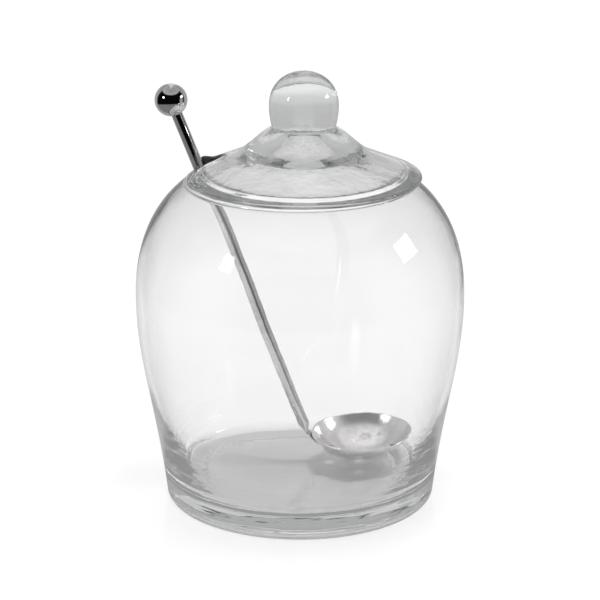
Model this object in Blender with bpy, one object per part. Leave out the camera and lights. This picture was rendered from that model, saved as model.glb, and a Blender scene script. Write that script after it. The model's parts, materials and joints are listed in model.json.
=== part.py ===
# Olive jar: a clear glass jar, a lift-off glass lid with a ball knob and a notch for
# the handle, and a stainless serving ladle that stands in the jar and leans on its mouth.
# Metres, +Z up. The origin is the middle of the jar's base, and -Y is the front.

import math

import bmesh
import bpy
from mathutils import Matrix, Vector
from mathutils.geometry import interpolate_bezier

# Mouth: the lid's flange reaches a little past the jar's rim
lid_radius = 0.0470
lid_overhang = 0.0009
rim_radius = lid_radius - lid_overhang

# Jar
belly_radius = 0.0661
belly_height = 0.0850
foot_radius = 0.0547
foot_round = 0.0026
rim_height = 0.1323
wall = 0.0026
rim_wall = 0.0019
floor_thickness = 0.0080
floor_corner = 0.0060
base_wall = 0.0045
base_hollow_radius = 0.0430
base_hollow_depth = 0.0010
base_hollow_slope = 0.0030

# Lid
lid_edge = 0.0021
cone_height = 0.0105
cone_radius = 0.0260
bell_height = 0.0104
neck_radius = 0.0126
hollow_radius = 0.0210
hollow_height = 0.0150
hollow_top_radius = 0.0046
hollow_mouth_round = 0.0012
ring_height = 0.0015
ring_width = 0.0034
ring_taper = 0.0005
ring_play = 0.0018

# Notch in the lid's flange, and the raised lip along its far side
notch_width = 0.0120
notch_depth = 0.0140
notch_flare = 0.0026
notch_azimuth = math.radians(163.0)
lip_radius = 0.0019
lip_length = 0.0088
lip_rise = 0.0020
lip_setback = 0.0012
lip_overlap = 0.0004

# Knob
knob_radius = 0.0138
knob_crown = 0.0137
knob_shoulder = 0.0084
knob_crown_power = 2.15

# Ladle
bowl_radius = 0.0214
bowl_depth = 0.0132
bowl_wall = 0.0009
bowl_place = 0.0272
bowl_azimuth = math.radians(15.0)
bowl_roll = math.radians(3.5)
hole_radius = 0.0021
hole_ring_radius = 0.0130
hole_ring_count = 4
rod_radius = 0.0023
rod_length = 0.1512
rod_taper = 0.0056
rod_stand_off = 0.0008
tongue_length = 0.0068
tongue_thickness = 0.0012
tongue_width = 0.0052
tongue_tip_width = 0.0026
ball_radius = 0.0066
tenon_radius = 0.0014
tenon_length = 0.0050
rivet_radius = 0.0009
rivet_head_radius = 0.0018
rivet_head_height = 0.0009
rivet_tail_radius = 0.0014
rivet_tail_height = 0.0005
rivet_drop = 0.0024

# Fits
gap = 0.0003
overrun = 0.0040
weld = 0.00001

# Handles of the free curves, as shares of the height or the width that each one crosses
side_start_share = 0.49
side_end_share = 0.33
side_lean_share = 0.119
lining_start_share = 0.12
lining_end_share = 0.43
lining_lean_share = 0.40
shoulder_lower_share = 0.66
shoulder_upper_share = 0.27
shoulder_fall_share = 0.80
bell_out_share = 0.36
bell_down_share = 0.19
bell_in_share = 0.31
bell_up_share = 0.42
hollow_in_share = 0.62
hollow_up_share = 0.38
hollow_crown_share = 0.22

# Facets
jar_steps = 64
lid_steps = 56
knob_steps = 32
bowl_steps = 40
ball_steps = 24
rod_sides = 16
hole_sides = 16
notch_end_steps = 10


def clear_scene():
    for item in list(bpy.data.objects):
        bpy.data.objects.remove(item, do_unlink=True)


def make_material(name, colour, roughness, metallic, transmission):
    """A plain material, also shown in its own colour in the viewport."""
    material = bpy.data.materials.new(name)
    material.use_nodes = True
    shader = material.node_tree.nodes["Principled BSDF"]
    shader.inputs["Base Color"].default_value = colour
    shader.inputs["Roughness"].default_value = roughness
    shader.inputs["Metallic"].default_value = metallic
    shader.inputs["Transmission Weight"].default_value = transmission
    material.diffuse_color = colour
    return material


def make_glass(name):
    return make_material(name, (0.93, 0.95, 0.95, 1.0), 0.02, 0.0, 1.0)


def make_steel(name, roughness):
    return make_material(name, (0.68, 0.66, 0.66, 1.0), roughness, 1.0, 0.0)


def new_object(name, mesh, material=None, parent=None):
    item = bpy.data.objects.new(name, mesh)
    bpy.context.collection.objects.link(item)
    if material:
        mesh.materials.append(material)
    item.parent = parent
    return item


def new_frame(name, matrix):
    frame = bpy.data.objects.new(name, None)
    bpy.context.collection.objects.link(frame)
    frame.matrix_world = matrix
    return frame


def hide_cutter(item):
    item.hide_render = True
    item.display_type = "WIRE"


def add_boolean(item, tool, operation):
    modifier = item.modifiers.new(tool.name, "BOOLEAN")
    modifier.operation = operation
    modifier.object = tool
    modifier.solver = "EXACT"


def arc(centre, radii, start_degrees, end_degrees, count):
    """Points of an elliptical arc, in the (radius, height) plane unless a caller says so."""
    points = []
    for index in range(count + 1):
        angle = math.radians(start_degrees + (end_degrees - start_degrees) * index / count)
        points.append((centre[0] + radii[0] * math.cos(angle), centre[1] + radii[1] * math.sin(angle)))
    return points


def bend(start, start_handle, end_handle, end, count):
    """Points of a Bezier curve in the (radius, height) plane."""
    knots = [Vector(point) for point in (start, start_handle, end_handle, end)]
    return [(point.x, point.y) for point in interpolate_bezier(*knots, count + 1)]


def join_outline(*stretches):
    """One outline from several stretches, without the points that two of them share."""
    outline = []
    for stretch in stretches:
        for point in stretch:
            if not outline or math.dist(point, outline[-1]) > weld:
                outline.append(point)
    return outline


def turned(name, outline, steps, material=None, parent=None):
    """A solid of revolution about Z. The outline's outer side runs from top to bottom."""
    mesh = bpy.data.meshes.new(name)
    vertices = [(radius, 0, height) for radius, height in outline]
    edges = [(index, index + 1) for index in range(len(vertices) - 1)]
    mesh.from_pydata(vertices, edges, [])
    item = new_object(name, mesh, material, parent)
    screw = item.modifiers.new("turn", "SCREW")
    screw.steps = steps
    screw.render_steps = steps
    screw.use_merge_vertices = True
    screw.merge_threshold = weld
    screw.use_smooth_shade = True
    return item


def smooth_by_angle(mesh, degrees):
    mesh.shade_smooth()
    mesh.set_sharp_from_angle(angle=math.radians(degrees))


def wall_curve(foot, belly, start_share, end_share, lean_share, count):
    """The side of the jar, from a (radius, height) at its foot up to its belly."""
    rise = belly_height - foot[1]
    lower = (foot[0] + lean_share * start_share * rise, foot[1] + start_share * rise)
    upper = (belly, belly_height - end_share * rise)
    return bend(foot, lower, upper, (belly, belly_height), count)


def shoulder_curve(belly, rim, count):
    """The shoulder, from the belly up to the rim."""
    top = rim_height - rim_wall / 2
    rise = top - belly_height
    width = (belly - rim) * shoulder_upper_share
    lower = (belly, belly_height + shoulder_lower_share * rise)
    upper = (rim + width, top - shoulder_fall_share * width)
    return bend((belly, belly_height), lower, upper, (rim, top), count)


def make_jar(material):
    inner_foot = foot_radius - base_wall
    corner_top = floor_thickness + floor_corner
    corner_arc = arc((inner_foot - floor_corner, corner_top), (floor_corner, floor_corner), -90, 0, 4)
    inside = wall_curve((inner_foot, corner_top), belly_radius - wall, lining_start_share,
                        lining_end_share, lining_lean_share, 6)
    inside += shoulder_curve(belly_radius - wall, rim_radius - rim_wall, 8)
    rim_centre = (rim_radius - rim_wall / 2, rim_height - rim_wall / 2)
    rim_arc = arc(rim_centre, (rim_wall / 2, rim_wall / 2), 180, 0, 4)
    outside = wall_curve((foot_radius, foot_round), belly_radius, side_start_share, side_end_share,
                         side_lean_share, 6)
    outside += shoulder_curve(belly_radius, rim_radius, 8)
    foot_arc = arc((foot_radius - foot_round, foot_round), (foot_round, foot_round), 0, -90, 3)
    base_flat = base_hollow_radius - base_hollow_slope
    underside = [(base_hollow_radius, 0), (base_flat, base_hollow_depth), (0, base_hollow_depth)]
    outline = join_outline([(0, floor_thickness)], corner_arc, inside, rim_arc, outside[::-1],
                           foot_arc, underside)
    return turned("glass_jar", outline, jar_steps, material)


def lid_outline():
    """Down the bell and the cone, round the flange, and back in under it to the hollow."""
    neck = (neck_radius, cone_height + bell_height)
    bell_width = cone_radius - neck_radius
    bell = bend(neck, (neck_radius + bell_width * bell_out_share, neck[1] - bell_height * bell_down_share),
                (cone_radius - bell_width * bell_in_share, cone_height + bell_height * bell_up_share),
                (cone_radius, cone_height), 8)
    edge_round = lid_edge / 2
    edge = arc((lid_radius - edge_round, edge_round), (edge_round, edge_round), 75, -90, 5)
    ring_outer = rim_radius - rim_wall - ring_play
    ring_inner = ring_outer - ring_width
    ring = [(ring_outer, 0), (ring_outer - ring_taper, -ring_height)]
    ring += [(ring_inner + ring_taper, -ring_height), (ring_inner, 0)]
    mouth_round = hollow_mouth_round
    mouth = arc((hollow_radius + mouth_round, mouth_round), (mouth_round, mouth_round), -90, -150, 2)
    hollow_width = hollow_radius - hollow_top_radius
    hollow = bend(mouth[-1],
                  (hollow_radius - hollow_width * hollow_in_share, hollow_height * hollow_up_share),
                  (hollow_top_radius + hollow_width * hollow_crown_share, hollow_height),
                  (hollow_top_radius, hollow_height), 7)
    return join_outline([(0, neck[1])], bell, edge, ring, mouth, hollow, [(0, hollow_height)])


def make_notch_cutter(parent):
    """A slot through the flange, drawn in plan: round inside and flared at its near corner."""
    half = notch_width / 2
    flare_side = half + notch_flare
    flare_end = math.sqrt(lid_radius ** 2 - flare_side ** 2)
    outline = arc((lid_radius - notch_depth + half, 0), (half, half), 90, 270, notch_end_steps)
    outline += [(lid_radius + overrun, -half), (lid_radius + overrun, flare_side)]
    outline += arc((flare_end - notch_flare, flare_side), (notch_flare, notch_flare), 0, -90, 4)
    depth = ring_height + overrun
    height = cone_height + bell_height + overrun
    shape = bmesh.new()
    bottom = [shape.verts.new((along, across, -depth)) for along, across in outline]
    face = shape.faces.new(bottom)
    raised = bmesh.ops.extrude_face_region(shape, geom=[face])
    top = [part for part in raised["geom"] if isinstance(part, bmesh.types.BMVert)]
    bmesh.ops.translate(shape, verts=top, vec=(0, 0, depth + height))
    bmesh.ops.recalc_face_normals(shape, faces=shape.faces)
    mesh = bpy.data.meshes.new("notch_cutter")
    shape.to_mesh(mesh)
    shape.free()
    cutter = new_object("notch_cutter", mesh, parent=parent)
    cutter.rotation_euler = (0, 0, notch_azimuth)
    hide_cutter(cutter)
    return cutter


def make_notch_lip(parent):
    """The far side of the notch is rolled up into a level bar with a round end."""
    half = lip_length / 2
    top_end = arc((0, half), (lip_radius, lip_radius), 90, 0, 4)
    bottom_end = arc((0, -half), (lip_radius, lip_radius), 0, -90, 4)
    lip = turned("notch_lip", join_outline(top_end, bottom_end), rod_sides, parent=parent)
    reach = lid_radius - lip_setback - lip_radius - half
    side = notch_width / 2 + lip_radius - lip_overlap
    height = lid_edge + lip_rise - lip_radius
    to_notch = Matrix.Rotation(notch_azimuth, 4, "Z")
    along_radius = Matrix.Rotation(math.radians(90), 4, "Y")
    lip.matrix_local = to_notch @ Matrix.Translation((reach, -side, height)) @ along_radius
    hide_cutter(lip)
    return lip


def make_lid(material, parent):
    lid = turned("lid", lid_outline(), lid_steps, material, parent)
    add_boolean(lid, make_notch_lip(parent), "UNION")
    add_boolean(lid, make_notch_cutter(parent), "DIFFERENCE")
    return lid


def make_knob(material, parent):
    """A ball, a little fuller than round above and drawn out to its neck below."""
    crown = []
    crown_steps = 9
    for index in range(crown_steps + 1):
        angle = math.radians(90 * (1 - index / crown_steps))
        reach = math.cos(angle) ** (2 / knob_crown_power)
        rise = math.sin(angle) ** (2 / knob_crown_power)
        crown.append((knob_radius * reach, knob_shoulder + knob_crown * rise))
    crown[0] = (0, knob_shoulder + knob_crown)
    neck_share = neck_radius / knob_radius
    neck_depth = knob_shoulder / math.sqrt(1 - neck_share ** 2)
    neck_angle = math.degrees(math.asin(knob_shoulder / neck_depth))
    neck = arc((0, knob_shoulder), (knob_radius, neck_depth), 0, -neck_angle, 4)
    knob = turned("lid_knob", join_outline(crown, neck, [(0, 0)]), knob_steps, material, parent)
    knob.location.z = cone_height + bell_height + gap
    return knob


def bowl_sphere_radius():
    return (bowl_radius ** 2 + bowl_depth ** 2) / (2 * bowl_depth)


def place_bowl():
    """The bowl's frame: the middle of its sphere, over the point that touches the floor."""
    place = Matrix.Rotation(bowl_azimuth, 4, "Z") @ Vector((bowl_place, 0, 0))
    place.z = floor_thickness + gap + bowl_sphere_radius()
    mouth = mouth_point(rod_radius)
    towards_rod = math.atan2(mouth.y - place.y, mouth.x - place.x)
    turn = Matrix.Rotation(towards_rod, 4, "Z") @ Matrix.Rotation(-bowl_roll, 4, "X")
    return Matrix.Translation(place) @ turn


def mouth_point(side):
    """Where the rod's middle passes the jar's mouth, a gap in from the rim."""
    reach = rim_radius - rim_wall - gap - side
    height = rim_height - rim_wall / 2
    return Vector((reach * math.cos(notch_azimuth), reach * math.sin(notch_azimuth), height))


def wall_direction(angle):
    """Outwards from the middle of the bowl's sphere, at an angle from straight down."""
    return Vector((math.sin(angle), 0, -math.cos(angle)))


def rim_angle():
    return math.asin(bowl_radius / bowl_sphere_radius())


def place_rod(bowl_frame):
    """The rod's frame: its joint with the bowl's rim, with +Z along the rod."""
    reach = bowl_sphere_radius() + gap + tongue_thickness / 2 + rod_stand_off
    joint = bowl_frame @ (wall_direction(rim_angle()) * reach)
    mouth = mouth_point(rod_radius)
    for _ in range(4):
        along = (mouth - joint).normalized()
        mouth = mouth_point(rod_radius / along.z)
    across = Vector((0, 0, 1)).cross(along).normalized()
    outwards = across.cross(along)
    turn = Matrix((outwards, across, along)).transposed().to_4x4()
    return Matrix.Translation(joint) @ turn


def ring_of_points(frame, half_depth, half_width):
    points = []
    for index in range(rod_sides):
        angle = math.radians(360 * index / rod_sides)
        points.append(frame @ Vector((half_depth * math.cos(angle), half_width * math.sin(angle), 0)))
    return points


def tongue_sections(rod_from_bowl):
    """Sections of the flattened end, up the outside of the bowl to its rim."""
    count = 6
    radius = bowl_sphere_radius()
    sections = []
    for index in range(count + 1):
        share = index / count
        angle = rim_angle() - tongue_length / radius * (1 - share)
        centre = wall_direction(angle) * (radius + gap + tongue_thickness / 2)
        along = Vector((math.cos(angle), 0, math.sin(angle)))
        across = Vector((0, 1, 0))
        frame = Matrix((across.cross(along), across, along)).transposed().to_4x4()
        widen = math.sin(math.radians(90 * min(1, share * 2)))
        width = tongue_tip_width + (tongue_width - tongue_tip_width) * widen
        sections.append(ring_of_points(rod_from_bowl @ Matrix.Translation(centre) @ frame,
                                       tongue_thickness / 2, width / 2))
    return sections


def make_handle(material, parent, rod_from_bowl):
    """A round rod, flattened below into a tongue and turned down above into a tenon."""
    sections = tongue_sections(rod_from_bowl)
    count = 5
    for index in range(1, count + 1):
        share = index / count
        ease = share * share * (3 - 2 * share)
        depth = tongue_thickness / 2 + (rod_radius - tongue_thickness / 2) * ease
        width = tongue_width / 2 + (rod_radius - tongue_width / 2) * ease
        sections.append(ring_of_points(Matrix.Translation((0, 0, rod_taper * share)), depth, width))
    shoulder = rod_length - ball_radius + rod_radius ** 2 / ball_radius
    tenon_end = shoulder + tenon_length
    for height, radius in ((shoulder, rod_radius), (shoulder, tenon_radius), (tenon_end, tenon_radius)):
        sections.append(ring_of_points(Matrix.Translation((0, 0, height)), radius, radius))
    shape = bmesh.new()
    rings = [[shape.verts.new(point) for point in section] for section in sections]
    for lower, upper in zip(rings, rings[1:]):
        for index in range(rod_sides):
            following = (index + 1) % rod_sides
            shape.faces.new((lower[index], lower[following], upper[following], upper[index]))
    shape.faces.new(rings[0][::-1])
    shape.faces.new(rings[-1])
    bmesh.ops.recalc_face_normals(shape, faces=shape.faces)
    mesh = bpy.data.meshes.new("spoon_handle")
    shape.to_mesh(mesh)
    shape.free()
    smooth_by_angle(mesh, 40)
    return new_object("spoon_handle", mesh, material, parent)


def make_ball(material, parent):
    """A ball with a blind bore for the tenon and a flat that seats on the rod's shoulder."""
    flat_height = -math.sqrt(ball_radius ** 2 - (rod_radius + gap) ** 2)
    start = math.degrees(math.asin(flat_height / ball_radius))
    outer = arc((0, 0), (ball_radius, ball_radius), 90, start, 14)
    bore_radius = tenon_radius + gap
    shoulder = -ball_radius + rod_radius ** 2 / ball_radius
    bore_top = shoulder + tenon_length + gap
    seat = shoulder + gap
    bore = [(rod_radius + gap, seat), (bore_radius, seat), (bore_radius, bore_top), (0, bore_top)]
    ball = turned("spoon_ball", join_outline(outer, bore), ball_steps, material, parent)
    ball.location.z = rod_length
    return ball


def make_peg(name, radius, length, parent):
    """A plain cutter along Z, centred on its frame."""
    outline = [(0, length / 2), (radius, length / 2), (radius, -length / 2), (0, -length / 2)]
    peg = turned(name, outline, hole_sides, parent=parent)
    hide_cutter(peg)
    return peg


def along_normal(angle, azimuth=0):
    """A frame on the bowl's wall whose +Z points inwards along the wall's normal."""
    inwards = -wall_direction(angle)
    across = Vector((0, 1, 0))
    frame = Matrix((across.cross(inwards), across, inwards)).transposed().to_4x4()
    wall_middle = Matrix.Translation(wall_direction(angle) * (bowl_sphere_radius() - bowl_wall / 2))
    return Matrix.Rotation(azimuth, 4, "Z") @ wall_middle @ frame


def make_bowl(material, parent, bowl_from_parent):
    """A pierced dish: part of a sphere with a round rim and drain holes."""
    radius = bowl_sphere_radius()
    inner_radius = radius - bowl_wall
    rim_start = math.degrees(rim_angle())
    rim_middle = wall_direction(rim_angle()) * (radius - bowl_wall / 2)
    inner = arc((0, 0), (inner_radius, inner_radius), -90, -90 + rim_start, 8)
    rim = arc((rim_middle.x, rim_middle.z), (bowl_wall / 2, bowl_wall / 2), rim_start + 90, rim_start - 90, 4)
    outer = arc((0, 0), (radius, radius), -90 + rim_start, -90, 8)
    bowl = turned("spoon_bowl", join_outline(inner, rim, outer), bowl_steps, material, parent)
    bowl.matrix_local = bowl_from_parent
    hole_angles = [0]
    hole_angles += [math.asin(hole_ring_radius / radius)] * hole_ring_count
    for index, angle in enumerate(hole_angles):
        azimuth = math.radians(360 * index / hole_ring_count)
        peg = make_peg(f"drain_cutter_{index}", hole_radius, overrun, parent)
        peg.matrix_local = bowl_from_parent @ along_normal(angle, azimuth)
        add_boolean(bowl, peg, "DIFFERENCE")
    return bowl


def make_rivet(material, parent, seat):
    """A dome head inside the bowl, a shank through wall and tongue, and a peened tail."""
    head_base = bowl_wall / 2 + gap
    tail_base = -bowl_wall / 2 - gap - tongue_thickness - gap
    head = arc((0, head_base), (rivet_head_radius, rivet_head_height), 90, 0, 4)
    shank = [(rivet_radius, head_base), (rivet_radius, tail_base)]
    tail = arc((0, tail_base), (rivet_tail_radius, rivet_tail_height), 0, -90, 3)
    rivet = turned("bowl_rivet", join_outline(head, shank, tail), rod_sides, material, parent)
    rivet.matrix_local = seat
    return rivet


def make_spoon():
    bowl_frame = place_bowl()
    rod_frame = place_rod(bowl_frame)
    spoon = new_frame("spoon_frame", rod_frame)
    rod_from_bowl = rod_frame.inverted() @ bowl_frame
    handle = make_handle(make_steel("handle_steel", 0.12), spoon, rod_from_bowl)
    make_ball(make_steel("ball_steel", 0.05), spoon)
    bowl = make_bowl(make_steel("bowl_steel", 0.25), spoon, rod_from_bowl)
    rivet_seat = rod_from_bowl @ along_normal(rim_angle() - rivet_drop / bowl_sphere_radius())
    make_rivet(make_steel("rivet_steel", 0.25), spoon, rivet_seat)
    rivet_hole = make_peg("rivet_cutter", rivet_radius + gap, overrun * 2, spoon)
    rivet_hole.matrix_local = rivet_seat
    add_boolean(bowl, rivet_hole, "DIFFERENCE")
    add_boolean(handle, rivet_hole, "DIFFERENCE")


def build():
    clear_scene()
    make_jar(make_glass("jar_glass"))
    lid_frame = new_frame("lid_frame", Matrix.Translation((ring_play - gap, 0, rim_height + gap)))
    make_lid(make_glass("lid_glass"), lid_frame)
    make_knob(make_glass("knob_glass"), lid_frame)
    make_spoon()


build()
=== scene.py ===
# %% [markdown]
# # A glass olive jar with its lid and ladle
#
# This lesson dresses a clear glass jar, its notched lid and a steel ladle for a studio picture.
# The measured model comes in first as a fixed frame. Every finer piece is built around it, in
# metres, in the same place, and rides on the body that it belongs to.

# %% Load the measured model
import json
import math

import bmesh
import bpy
import numpy as np
from mathutils import Matrix, Vector


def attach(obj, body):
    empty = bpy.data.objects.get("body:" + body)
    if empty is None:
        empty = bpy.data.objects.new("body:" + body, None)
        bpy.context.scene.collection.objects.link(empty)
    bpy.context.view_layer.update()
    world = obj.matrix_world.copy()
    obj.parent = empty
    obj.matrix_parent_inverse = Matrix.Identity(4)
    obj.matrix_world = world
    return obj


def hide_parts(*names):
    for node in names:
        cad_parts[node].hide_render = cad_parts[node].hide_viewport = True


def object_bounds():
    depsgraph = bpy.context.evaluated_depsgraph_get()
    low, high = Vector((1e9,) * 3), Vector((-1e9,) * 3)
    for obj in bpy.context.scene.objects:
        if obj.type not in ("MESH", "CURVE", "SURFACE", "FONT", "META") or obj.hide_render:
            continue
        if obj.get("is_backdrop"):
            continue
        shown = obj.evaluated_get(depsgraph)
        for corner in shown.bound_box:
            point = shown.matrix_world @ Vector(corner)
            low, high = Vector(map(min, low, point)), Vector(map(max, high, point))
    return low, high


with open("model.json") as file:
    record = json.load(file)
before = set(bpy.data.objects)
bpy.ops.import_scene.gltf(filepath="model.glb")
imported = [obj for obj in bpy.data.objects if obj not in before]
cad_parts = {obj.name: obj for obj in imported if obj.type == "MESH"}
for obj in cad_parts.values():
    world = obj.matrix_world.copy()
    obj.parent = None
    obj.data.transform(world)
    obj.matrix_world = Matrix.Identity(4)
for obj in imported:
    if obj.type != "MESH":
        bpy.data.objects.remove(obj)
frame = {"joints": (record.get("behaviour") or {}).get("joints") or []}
measured_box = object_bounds()

# %% [markdown]
# ## Sizes
#
# The outlines below are drawn in millimetres, because that is how a glassmaker's mould drawing
# is written. One factor turns them into metres at the end. The heights and radii are those of
# the measured model, so each finer piece lies where its plain solid lies.

# %% Name the sizes
MM = 0.001
belly_radius, belly_height = 66.1, 85.0
foot_radius, foot_round = 54.7, 2.6
rim_radius, rim_height, rim_wall = 46.1, 132.3, 1.9
side_wall, base_wall = 2.6, 4.5
floor_height, floor_corner = 8.0, 6.0
base_hollow_radius, base_hollow_depth, base_hollow_lip = 43.0, 1.0, 3.0

lid_shift = 1.5
lid_seat = 132.6
lid_radius, lid_edge = 47.0, 2.1
cone_radius, cone_height = 26.0, 10.5
neck_radius, bell_height = 12.6, 10.4
foot_swell, foot_swell_reach = 0.35, 4.0
hollow_mouth, hollow_height, hollow_top = 37.2, 15.0, 4.6
crease_radius, crease_height = 20.0, 6.9
ring_outer, ring_inner, ring_height = 42.4, 39.0, 1.5
notch_half, notch_depth, notch_angle = 6.0, 14.0, math.radians(163)
knob_radius, knob_crown, knob_shoulder, knob_power = 13.8, 13.7, 8.4, 2.15

bowl_radius, bowl_depth, bowl_wall = 21.4, 13.2, 0.9
hole_radius, hole_ring_radius, hole_ring_count = 2.1, 13.0, 4
rod_radius, rod_length, flat_to_round = 2.3, 151.2, 5.6
tongue_length, tongue_thickness, tongue_width, tongue_tip = 6.8, 1.2, 5.2, 2.6
ball_radius = 6.6
fit_gap = 0.3
print("jar", 2 * belly_radius, "mm wide,", "mouth", 2 * rim_radius, "mm")

# %% [markdown]
# ## Curves for outlines
#
# A turned shape needs only half of its outline. Long sweeps are Bezier curves, as in a drawing
# program, and rounded corners are arcs. Both give a list of (radius, height) points.

# %% Helpers that draw an outline
same_point = 0.005


def arc(centre, radii, start, end, count):
    """Points along an elliptical arc. The angles are in degrees."""
    turns = np.radians(np.linspace(start, end, count + 1))
    return [(centre[0] + radii[0] * math.cos(a), centre[1] + radii[1] * math.sin(a)) for a in turns]


def bend(start, first, second, end, count):
    """Points along a Bezier curve."""
    knots = np.array([start, first, second, end], float)
    t = np.linspace(0, 1, count + 1)[:, None]
    curve = ((1 - t) ** 3 * knots[0] + 3 * (1 - t) ** 2 * t * knots[1]
             + 3 * (1 - t) * t ** 2 * knots[2] + t ** 3 * knots[3])
    return [tuple(point) for point in curve]


def join(*stretches):
    """One outline from several stretches, without doubled points."""
    outline = []
    for stretch in stretches:
        for point in stretch:
            if not outline or math.dist(point, outline[-1]) > same_point:
                outline.append((float(point[0]), float(point[1])))
    return outline


# %% [markdown]
# ## Turning an outline
#
# Glass is blown into a turned mould and the ball of the ladle comes off a lathe, so both are
# shapes of revolution. A small Geometry Nodes tree does the turning: it makes a grid with one
# row for each point of the outline, and wraps each row round the axis. The Screw modifier
# would do that too, but the tree can also add the slight unevenness of hand-finished glass.

# %% Helpers that write a node tree
def is_socket(value):
    return isinstance(value, bpy.types.NodeSocket)


def feed(value, socket):
    """Gives a socket its value: another node's output, or a constant."""
    if is_socket(value):
        socket.id_data.links.new(value, socket)
    else:
        socket.default_value = value


def add_node(tree, kind, values=(), **settings):
    """A new node with its settings and its inputs, which go by their names or numbers."""
    node = tree.nodes.new(kind)
    for name, setting in settings.items():
        setattr(node, name, setting)
    for key, value in dict(values).items():
        feed(value, node.inputs[key])
    return node


def math_node(operation, *values):
    """A sum, in the tree of the first socket that goes into it."""
    tree = next(value.id_data for value in values if is_socket(value))
    return add_node(tree, "ShaderNodeMath", enumerate(values), operation=operation).outputs[0]


def vector_node(operation, *values):
    """A sum on whole vectors. A LENGTH comes out as Value, all else as Vector."""
    node = add_node(values[0].id_data, "ShaderNodeVectorMath", enumerate(values), operation=operation)
    return node.outputs["Value" if operation == "LENGTH" else "Vector"]


def open_tree(name, tree_kind, inputs, outputs):
    """A new tree with a label and a kind for each input and output. An input can have a value."""
    tree = bpy.data.node_groups.new(name, tree_kind)
    for label, kind, *value in inputs:
        socket = tree.interface.new_socket(label, in_out="INPUT", socket_type="NodeSocket" + kind)
        if value:
            socket.default_value = value[0]
    for label, kind in outputs:
        tree.interface.new_socket(label, in_out="OUTPUT", socket_type="NodeSocket" + kind)
    return tree, add_node(tree, "NodeGroupInput").outputs


def finish_tree(tree, made, given):
    """The last steps of a geometry tree: real faces, with the finish on them."""
    real = add_node(tree, "GeometryNodeRealizeInstances", {0: made}).outputs[0]
    finish = add_node(tree, "GeometryNodeSetMaterial", {"Geometry": real, "Material": given["Finish"]})
    add_node(tree, "NodeGroupOutput", {"Piece": finish.outputs[0]})
    return tree


# %% Build the turning tree
weld_distance = 0.000004
rounding_guard = 0.25


def build_turning_tree():
    inputs = (("Outline", "Geometry"), ("Steps Round", "Int", 96), ("Unevenness", "Float", 0.0),
              ("Unevenness Scale", "Float", 30.0), ("Finish", "Material"))
    tree, given = open_tree("turn an outline", "GeometryNodeTree", inputs, (("Piece", "Geometry"),))
    rows = add_node(tree, "GeometryNodeAttributeDomainSize", {"Geometry": given["Outline"]})
    row_count = rows.outputs["Point Count"]
    columns = math_node("ADD", given["Steps Round"], 1.0)
    grid = add_node(tree, "GeometryNodeMeshGrid", {"Vertices X": columns, "Vertices Y": row_count})

    index = add_node(tree, "GeometryNodeInputIndex").outputs[0]
    guarded = math_node("ADD", index, rounding_guard)
    column = math_node("FLOOR", math_node("DIVIDE", guarded, row_count))
    row = math_node("SUBTRACT", index, math_node("MULTIPLY", column, row_count))
    position = add_node(tree, "GeometryNodeInputPosition").outputs[0]
    sample = add_node(tree, "GeometryNodeSampleIndex",
                      {"Geometry": given["Outline"], "Value": position, "Index": row},
                      data_type="FLOAT_VECTOR")
    share = math_node("DIVIDE", column, given["Steps Round"])
    angle = math_node("MULTIPLY", share, 2 * math.pi)
    turn = add_node(tree, "ShaderNodeVectorRotate",
                    {"Vector": sample.outputs["Value"], "Angle": angle}, rotation_type="Z_AXIS")
    wrap = add_node(tree, "GeometryNodeSetPosition",
                    {"Geometry": grid.outputs["Mesh"], "Position": turn.outputs[0]})
    close = add_node(tree, "GeometryNodeMergeByDistance", {0: wrap.outputs[0], "Distance": weld_distance})

    noise = add_node(tree, "ShaderNodeTexNoise", {"Detail": 1.0, "Scale": given["Unevenness Scale"]})
    inwards = math_node("MULTIPLY", noise.outputs["Fac"], -1.0)
    amount = math_node("MULTIPLY", inwards, given["Unevenness"])
    normal = add_node(tree, "GeometryNodeInputNormal").outputs[0]
    push = add_node(tree, "ShaderNodeVectorMath", {0: normal, "Scale": amount}, operation="SCALE")
    uneven = add_node(tree, "GeometryNodeSetPosition",
                      {"Geometry": close.outputs[0], "Offset": push.outputs[0]})
    return finish_tree(tree, uneven.outputs[0], given)


turning_tree = build_turning_tree()
print("turning tree:", len(turning_tree.nodes), "nodes")

# %% [markdown]
# ## From tree to plain mesh
#
# The result of a tree is made a plain mesh before it is used, because what leaves this scene
# can't carry modifiers. The mesh is then put in its place, so that its object stays at the
# origin like the measured nodes, and its faces are turned outwards.

# %% Helpers that run a tree and settle its mesh
def add_object(name, data):
    item = bpy.data.objects.new(name, data)
    bpy.context.scene.collection.objects.link(item)
    return item


def set_input(modifier, name, value):
    for item in modifier.node_group.interface.items_tree:
        if item.name == name and item.in_out == "INPUT":
            modifier[item.identifier] = value


def settle(mesh, name, place=Matrix.Identity(4), sharp=180.0):
    """An object from a mesh, with its place in the mesh and its faces outwards."""
    mesh.transform(place)
    shape = bmesh.new()
    shape.from_mesh(mesh)
    bmesh.ops.recalc_face_normals(shape, faces=shape.faces)
    open_edges = sum(1 for edge in shape.edges if not edge.is_manifold)
    shape.to_mesh(mesh)
    shape.free()
    mesh.shade_smooth()
    if sharp < 180:
        mesh.set_sharp_from_angle(angle=math.radians(sharp))
    mesh.name = name
    print(f"{name}: {len(mesh.polygons)} faces, {open_edges} open edges")
    return add_object(name, mesh)


def grow(source, tree, values):
    """The mesh that a tree makes from a source mesh."""
    holder = add_object("holder", source)
    modifier = holder.modifiers.new("tree", "NODES")
    modifier.node_group = tree
    for name, value in values.items():
        set_input(modifier, name, value)
    evaluated = holder.evaluated_get(bpy.context.evaluated_depsgraph_get())
    made = bpy.data.meshes.new_from_object(evaluated)
    holder.modifiers.clear()
    bpy.data.objects.remove(holder)
    return made


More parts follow.
